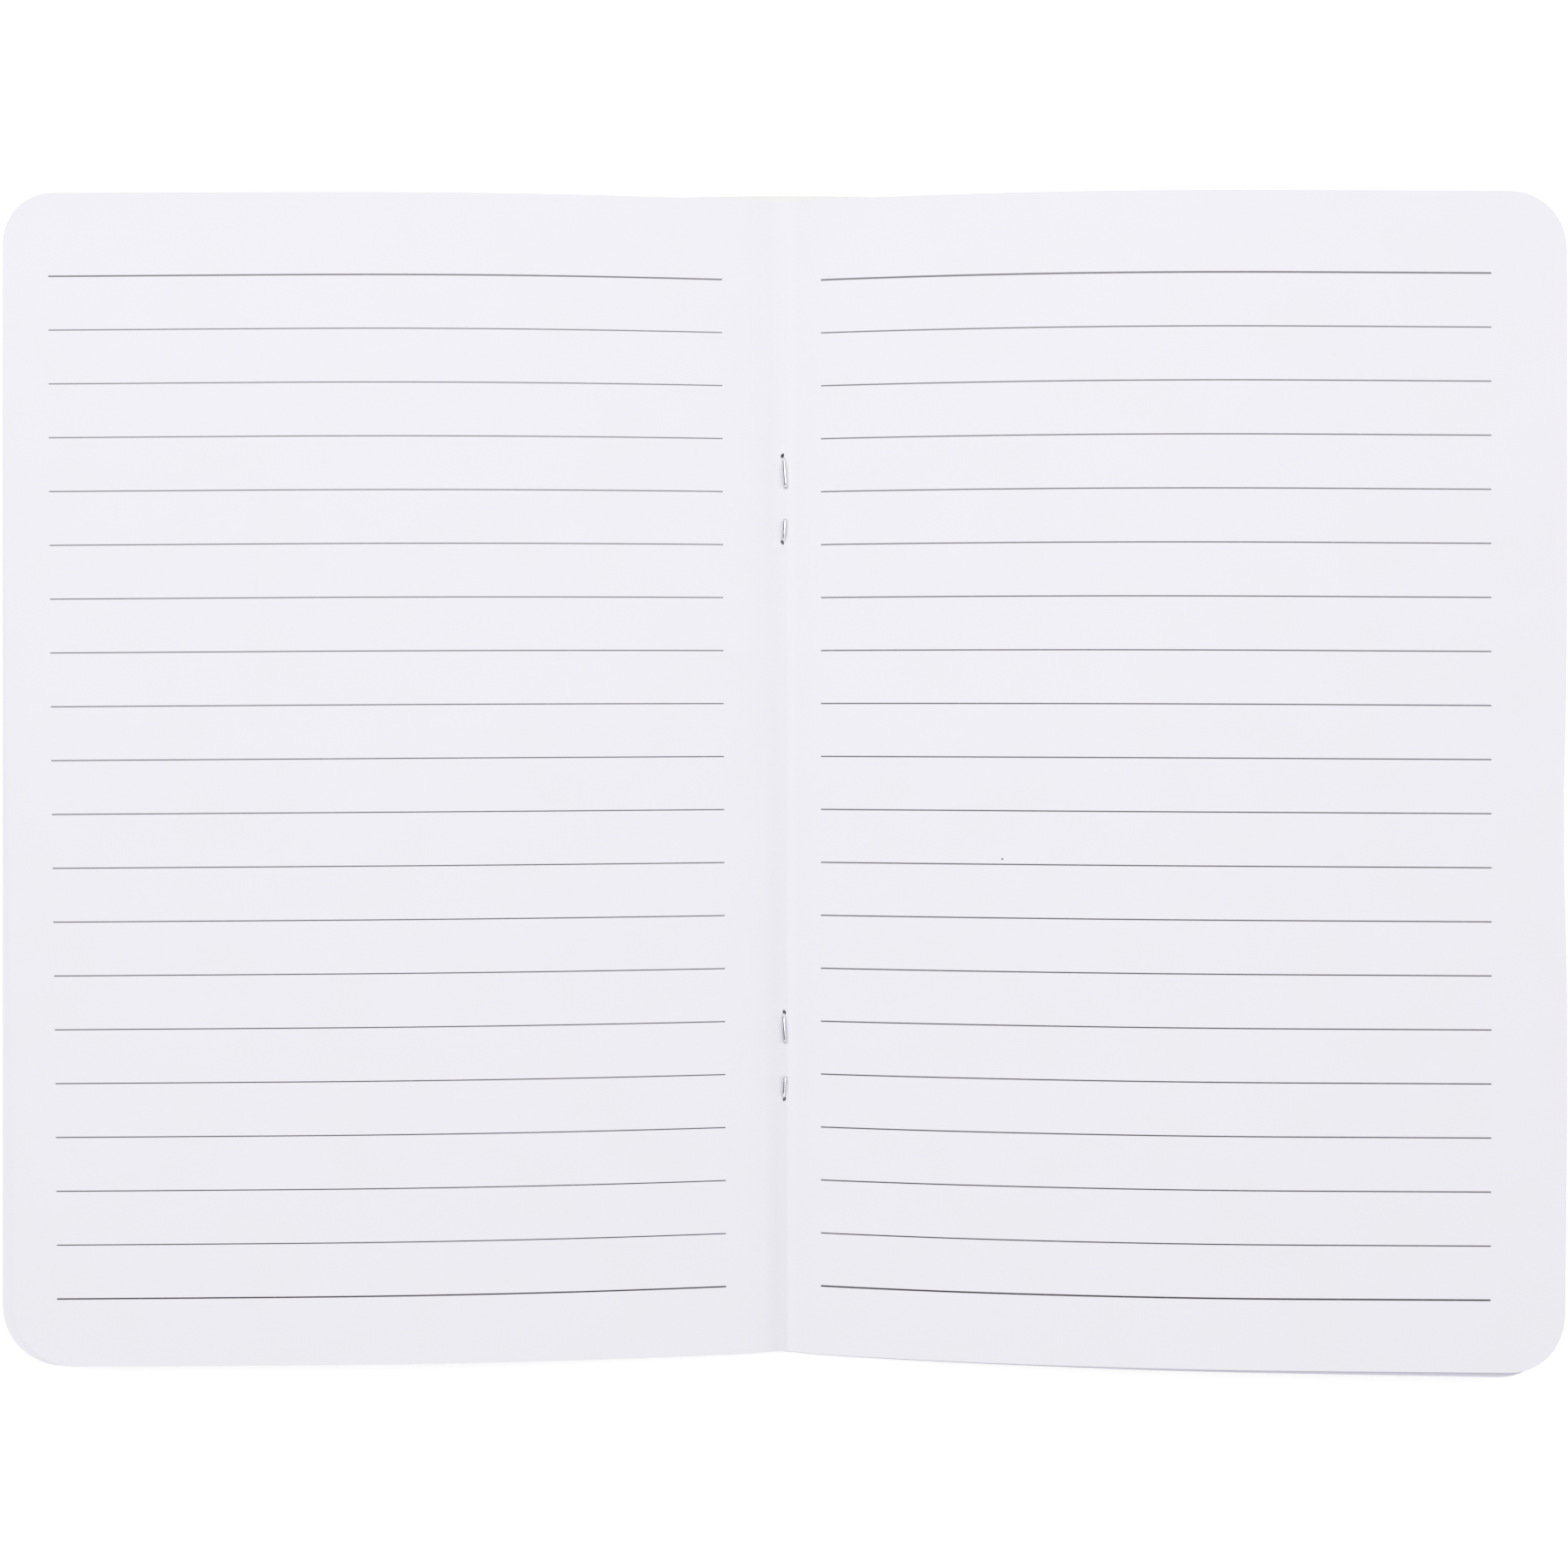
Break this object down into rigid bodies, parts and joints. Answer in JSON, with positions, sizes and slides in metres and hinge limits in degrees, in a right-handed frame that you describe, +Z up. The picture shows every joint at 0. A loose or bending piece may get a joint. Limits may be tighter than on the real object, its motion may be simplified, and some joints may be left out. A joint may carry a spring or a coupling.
{
  "type": "stapled exercise book",
  "caption": "Pocket exercise book of ruled sheets folded inside a soft card cover and held by wire staples at the fold, lying open at its centre spread; each half closes on the fold.",
  "frame": {"origin": "on the table, under the middle of the fold", "axes": "+X across the spread towards the right-hand page, +Y along the fold towards the head, +Z up"},
  "size_m": [0.2086, 0.1556, 0.0087],
  "materials": {
    "paper": "uncoated white, ruled",
    "cover_card": "plain matt card, pale inside",
    "staple_wire": "bright galvanised wire"
  },
  "bodies": {
    "spine": {"cover_spine": "cover_card", "upper_staple": "staple_wire", "lower_staple": "staple_wire", "sheet_01_fold": "paper", "sheet_02_fold": "paper", "sheet_03_fold": "paper", "sheet_04_fold": "paper", "sheet_05_fold": "paper", "sheet_06_fold": "paper", "sheet_07_fold": "paper", "sheet_08_fold": "paper", "sheet_09_fold": "paper", "sheet_10_fold": "paper", "sheet_11_fold": "paper", "sheet_12_fold": "paper", "sheet_13_fold": "paper", "sheet_14_fold": "paper", "sheet_15_fold": "paper", "sheet_16_fold": "paper"},
    "front_cover": {"front_cover": "cover_card"},
    "sheet_01_left": {"sheet_01_left_leaf": "paper"},
    "sheet_02_left": {"sheet_02_left_leaf": "paper"},
    "sheet_03_left": {"sheet_03_left_leaf": "paper"},
    "sheet_04_left": {"sheet_04_left_leaf": "paper"},
    "sheet_05_left": {"sheet_05_left_leaf": "paper"},
    "sheet_06_left": {"sheet_06_left_leaf": "paper"},
    "sheet_07_left": {"sheet_07_left_leaf": "paper"},
    "sheet_08_left": {"sheet_08_left_leaf": "paper"},
    "sheet_09_left": {"sheet_09_left_leaf": "paper"},
    "sheet_10_left": {"sheet_10_left_leaf": "paper"},
    "sheet_11_left": {"sheet_11_left_leaf": "paper"},
    "sheet_12_left": {"sheet_12_left_leaf": "paper"},
    "sheet_13_left": {"sheet_13_left_leaf": "paper"},
    "sheet_14_left": {"sheet_14_left_leaf": "paper"},
    "sheet_15_left": {"sheet_15_left_leaf": "paper"},
    "sheet_16_left": {"sheet_16_left_leaf": "paper"},
    "back_cover": {"back_cover": "cover_card"},
    "sheet_01_right": {"sheet_01_right_leaf": "paper"},
    "sheet_02_right": {"sheet_02_right_leaf": "paper"},
    "sheet_03_right": {"sheet_03_right_leaf": "paper"},
    "sheet_04_right": {"sheet_04_right_leaf": "paper"},
    "sheet_05_right": {"sheet_05_right_leaf": "paper"},
    "sheet_06_right": {"sheet_06_right_leaf": "paper"},
    "sheet_07_right": {"sheet_07_right_leaf": "paper"},
    "sheet_08_right": {"sheet_08_right_leaf": "paper"},
    "sheet_09_right": {"sheet_09_right_leaf": "paper"},
    "sheet_10_right": {"sheet_10_right_leaf": "paper"},
    "sheet_11_right": {"sheet_11_right_leaf": "paper"},
    "sheet_12_right": {"sheet_12_right_leaf": "paper"},
    "sheet_13_right": {"sheet_13_right_leaf": "paper"},
    "sheet_14_right": {"sheet_14_right_leaf": "paper"},
    "sheet_15_right": {"sheet_15_right_leaf": "paper"},
    "sheet_16_right": {"sheet_16_right_leaf": "paper"}
  },
  "joints": [
    {"name": "front_cover_close", "type": "hinge", "parent": "spine", "child": "front_cover", "pos_m": [-0.00267, 0, 0.00064], "axis": [0, 1, 0], "range_deg": [0, 83]},
    {"name": "sheet_01_left_turn", "type": "hinge", "parent": "spine", "child": "sheet_01_left", "pos_m": [-0.00068, 0, 0.00264], "axis": [0, 1, 0], "range_deg": [0, 81.05]},
    {"name": "sheet_02_left_turn", "type": "hinge", "parent": "spine", "child": "sheet_02_left", "pos_m": [-0.0008, 0, 0.00252], "axis": [0, 1, 0], "range_deg": [0, 81.17]},
    {"name": "sheet_03_left_turn", "type": "hinge", "parent": "spine", "child": "sheet_03_left", "pos_m": [-0.00092, 0, 0.0024], "axis": [0, 1, 0], "range_deg": [0, 81.3]},
    {"name": "sheet_04_left_turn", "type": "hinge", "parent": "spine", "child": "sheet_04_left", "pos_m": [-0.00104, 0, 0.00228], "axis": [0, 1, 0], "range_deg": [0, 81.42]},
    {"name": "sheet_05_left_turn", "type": "hinge", "parent": "spine", "child": "sheet_05_left", "pos_m": [-0.00116, 0, 0.00216], "axis": [0, 1, 0], "range_deg": [0, 81.55]},
    {"name": "sheet_06_left_turn", "type": "hinge", "parent": "spine", "child": "sheet_06_left", "pos_m": [-0.00128, 0, 0.00204], "axis": [0, 1, 0], "range_deg": [0, 81.67]},
    {"name": "sheet_07_left_turn", "type": "hinge", "parent": "spine", "child": "sheet_07_left", "pos_m": [-0.0014, 0, 0.00192], "axis": [0, 1, 0], "range_deg": [0, 81.8]},
    {"name": "sheet_08_left_turn", "type": "hinge", "parent": "spine", "child": "sheet_08_left", "pos_m": [-0.00152, 0, 0.0018], "axis": [0, 1, 0], "range_deg": [0, 81.92]},
    {"name": "sheet_09_left_turn", "type": "hinge", "parent": "spine", "child": "sheet_09_left", "pos_m": [-0.00164, 0, 0.00168], "axis": [0, 1, 0], "range_deg": [0, 82.05]},
    {"name": "sheet_10_left_turn", "type": "hinge", "parent": "spine", "child": "sheet_10_left", "pos_m": [-0.00176, 0, 0.00156], "axis": [0, 1, 0], "range_deg": [0, 82.17]},
    {"name": "sheet_11_left_turn", "type": "hinge", "parent": "spine", "child": "sheet_11_left", "pos_m": [-0.00188, 0, 0.00144], "axis": [0, 1, 0], "range_deg": [0, 82.3]},
    {"name": "sheet_12_left_turn", "type": "hinge", "parent": "spine", "child": "sheet_12_left", "pos_m": [-0.002, 0, 0.00132], "axis": [0, 1, 0], "range_deg": [0, 82.42]},
    {"name": "sheet_13_left_turn", "type": "hinge", "parent": "spine", "child": "sheet_13_left", "pos_m": [-0.00212, 0, 0.0012], "axis": [0, 1, 0], "range_deg": [0, 82.55]},
    {"name": "sheet_14_left_turn", "type": "hinge", "parent": "spine", "child": "sheet_14_left", "pos_m": [-0.00224, 0, 0.00108], "axis": [0, 1, 0], "range_deg": [0, 82.67]},
    {"name": "sheet_15_left_turn", "type": "hinge", "parent": "spine", "child": "sheet_15_left", "pos_m": [-0.00236, 0, 0.00096], "axis": [0, 1, 0], "range_deg": [0, 82.8]},
    {"name": "sheet_16_left_turn", "type": "hinge", "parent": "spine", "child": "sheet_16_left", "pos_m": [-0.00248, 0, 0.00084], "axis": [0, 1, 0], "range_deg": [0, 82.92]},
    {"name": "back_cover_close", "type": "hinge", "parent": "spine", "child": "back_cover", "pos_m": [0.00267, 0, 0.00064], "axis": [0, -1, 0], "range_deg": [0, 81.5]},
    {"name": "sheet_01_right_turn", "type": "hinge", "parent": "spine", "child": "sheet_01_right", "pos_m": [0.00068, 0, 0.00264], "axis": [0, -1, 0], "range_deg": [0, 79.05]},
    {"name": "sheet_02_right_turn", "type": "hinge", "parent": "spine", "child": "sheet_02_right", "pos_m": [0.0008, 0, 0.00252], "axis": [0, -1, 0], "range_deg": [0, 79.21]},
    {"name": "sheet_03_right_turn", "type": "hinge", "parent": "spine", "child": "sheet_03_right", "pos_m": [0.00092, 0, 0.0024], "axis": [0, -1, 0], "range_deg": [0, 79.36]},
    {"name": "sheet_04_right_turn", "type": "hinge", "parent": "spine", "child": "sheet_04_right", "pos_m": [0.00104, 0, 0.00228], "axis": [0, -1, 0], "range_deg": [0, 79.52]},
    {"name": "sheet_05_right_turn", "type": "hinge", "parent": "spine", "child": "sheet_05_right", "pos_m": [0.00116, 0, 0.00216], "axis": [0, -1, 0], "range_deg": [0, 79.67]},
    {"name": "sheet_06_right_turn", "type": "hinge", "parent": "spine", "child": "sheet_06_right", "pos_m": [0.00128, 0, 0.00204], "axis": [0, -1, 0], "range_deg": [0, 79.83]},
    {"name": "sheet_07_right_turn", "type": "hinge", "parent": "spine", "child": "sheet_07_right", "pos_m": [0.0014, 0, 0.00192], "axis": [0, -1, 0], "range_deg": [0, 79.99]},
    {"name": "sheet_08_right_turn", "type": "hinge", "parent": "spine", "child": "sheet_08_right", "pos_m": [0.00152, 0, 0.0018], "axis": [0, -1, 0], "range_deg": [0, 80.14]},
    {"name": "sheet_09_right_turn", "type": "hinge", "parent": "spine", "child": "sheet_09_right", "pos_m": [0.00164, 0, 0.00168], "axis": [0, -1, 0], "range_deg": [0, 80.3]},
    {"name": "sheet_10_right_turn", "type": "hinge", "parent": "spine", "child": "sheet_10_right", "pos_m": [0.00176, 0, 0.00156], "axis": [0, -1, 0], "range_deg": [0, 80.46]},
    {"name": "sheet_11_right_turn", "type": "hinge", "parent": "spine", "child": "sheet_11_right", "pos_m": [0.00188, 0, 0.00144], "axis": [0, -1, 0], "range_deg": [0, 80.61]},
    {"name": "sheet_12_right_turn", "type": "hinge", "parent": "spine", "child": "sheet_12_right", "pos_m": [0.002, 0, 0.00132], "axis": [0, -1, 0], "range_deg": [0, 80.77]},
    {"name": "sheet_13_right_turn", "type": "hinge", "parent": "spine", "child": "sheet_13_right", "pos_m": [0.00212, 0, 0.0012], "axis": [0, -1, 0], "range_deg": [0, 80.92]},
    {"name": "sheet_14_right_turn", "type": "hinge", "parent": "spine", "child": "sheet_14_right", "pos_m": [0.00224, 0, 0.00108], "axis": [0, -1, 0], "range_deg": [0, 81.08]},
    {"name": "sheet_15_right_turn", "type": "hinge", "parent": "spine", "child": "sheet_15_right", "pos_m": [0.00236, 0, 0.00096], "axis": [0, -1, 0], "range_deg": [0, 81.24]},
    {"name": "sheet_16_right_turn", "type": "hinge", "parent": "spine", "child": "sheet_16_right", "pos_m": [0.00248, 0, 0.00084], "axis": [0, -1, 0], "range_deg": [0, 81.39]}
  ],
  "couplings": [
    {"joint": "sheet_01_left_turn", "follows": "front_cover_close", "ratio": 0.9759},
    {"joint": "sheet_02_left_turn", "follows": "front_cover_close", "ratio": 0.97741},
    {"joint": "sheet_03_left_turn", "follows": "front_cover_close", "ratio": 0.97892},
    {"joint": "sheet_04_left_turn", "follows": "front_cover_close", "ratio": 0.98042},
    {"joint": "sheet_05_left_turn", "follows": "front_cover_close", "ratio": 0.98193},
    {"joint": "sheet_06_left_turn", "follows": "front_cover_close", "ratio": 0.98343},
    {"joint": "sheet_07_left_turn", "follows": "front_cover_close", "ratio": 0.98494},
    {"joint": "sheet_08_left_turn", "follows": "front_cover_close", "ratio": 0.98645},
    {"joint": "sheet_09_left_turn", "follows": "front_cover_close", "ratio": 0.98795},
    {"joint": "sheet_10_left_turn", "follows": "front_cover_close", "ratio": 0.98946},
    {"joint": "sheet_11_left_turn", "follows": "front_cover_close", "ratio": 0.99096},
    {"joint": "sheet_12_left_turn", "follows": "front_cover_close", "ratio": 0.99247},
    {"joint": "sheet_13_left_turn", "follows": "front_cover_close", "ratio": 0.99398},
    {"joint": "sheet_14_left_turn", "follows": "front_cover_close", "ratio": 0.99548},
    {"joint": "sheet_15_left_turn", "follows": "front_cover_close", "ratio": 0.99699},
    {"joint": "sheet_16_left_turn", "follows": "front_cover_close", "ratio": 0.99849},
    {"joint": "sheet_01_right_turn", "follows": "back_cover_close", "ratio": 0.96932},
    {"joint": "sheet_02_right_turn", "follows": "back_cover_close", "ratio": 0.97124},
    {"joint": "sheet_03_right_turn", "follows": "back_cover_close", "ratio": 0.97316},
    {"joint": "sheet_04_right_turn", "follows": "back_cover_close", "ratio": 0.97508},
    {"joint": "sheet_05_right_turn", "follows": "back_cover_close", "ratio": 0.97699},
    {"joint": "sheet_06_right_turn", "follows": "back_cover_close", "ratio": 0.97891},
    {"joint": "sheet_07_right_turn", "follows": "back_cover_close", "ratio": 0.98083},
    {"joint": "sheet_08_right_turn", "follows": "back_cover_close", "ratio": 0.98274},
    {"joint": "sheet_09_right_turn", "follows": "back_cover_close", "ratio": 0.98466},
    {"joint": "sheet_10_right_turn", "follows": "back_cover_close", "ratio": 0.98658},
    {"joint": "sheet_11_right_turn", "follows": "back_cover_close", "ratio": 0.9885},
    {"joint": "sheet_12_right_turn", "follows": "back_cover_close", "ratio": 0.99041},
    {"joint": "sheet_13_right_turn", "follows": "back_cover_close", "ratio": 0.99233},
    {"joint": "sheet_14_right_turn", "follows": "back_cover_close", "ratio": 0.99425},
    {"joint": "sheet_15_right_turn", "follows": "back_cover_close", "ratio": 0.99617},
    {"joint": "sheet_16_right_turn", "follows": "back_cover_close", "ratio": 0.99808}
  ]
}
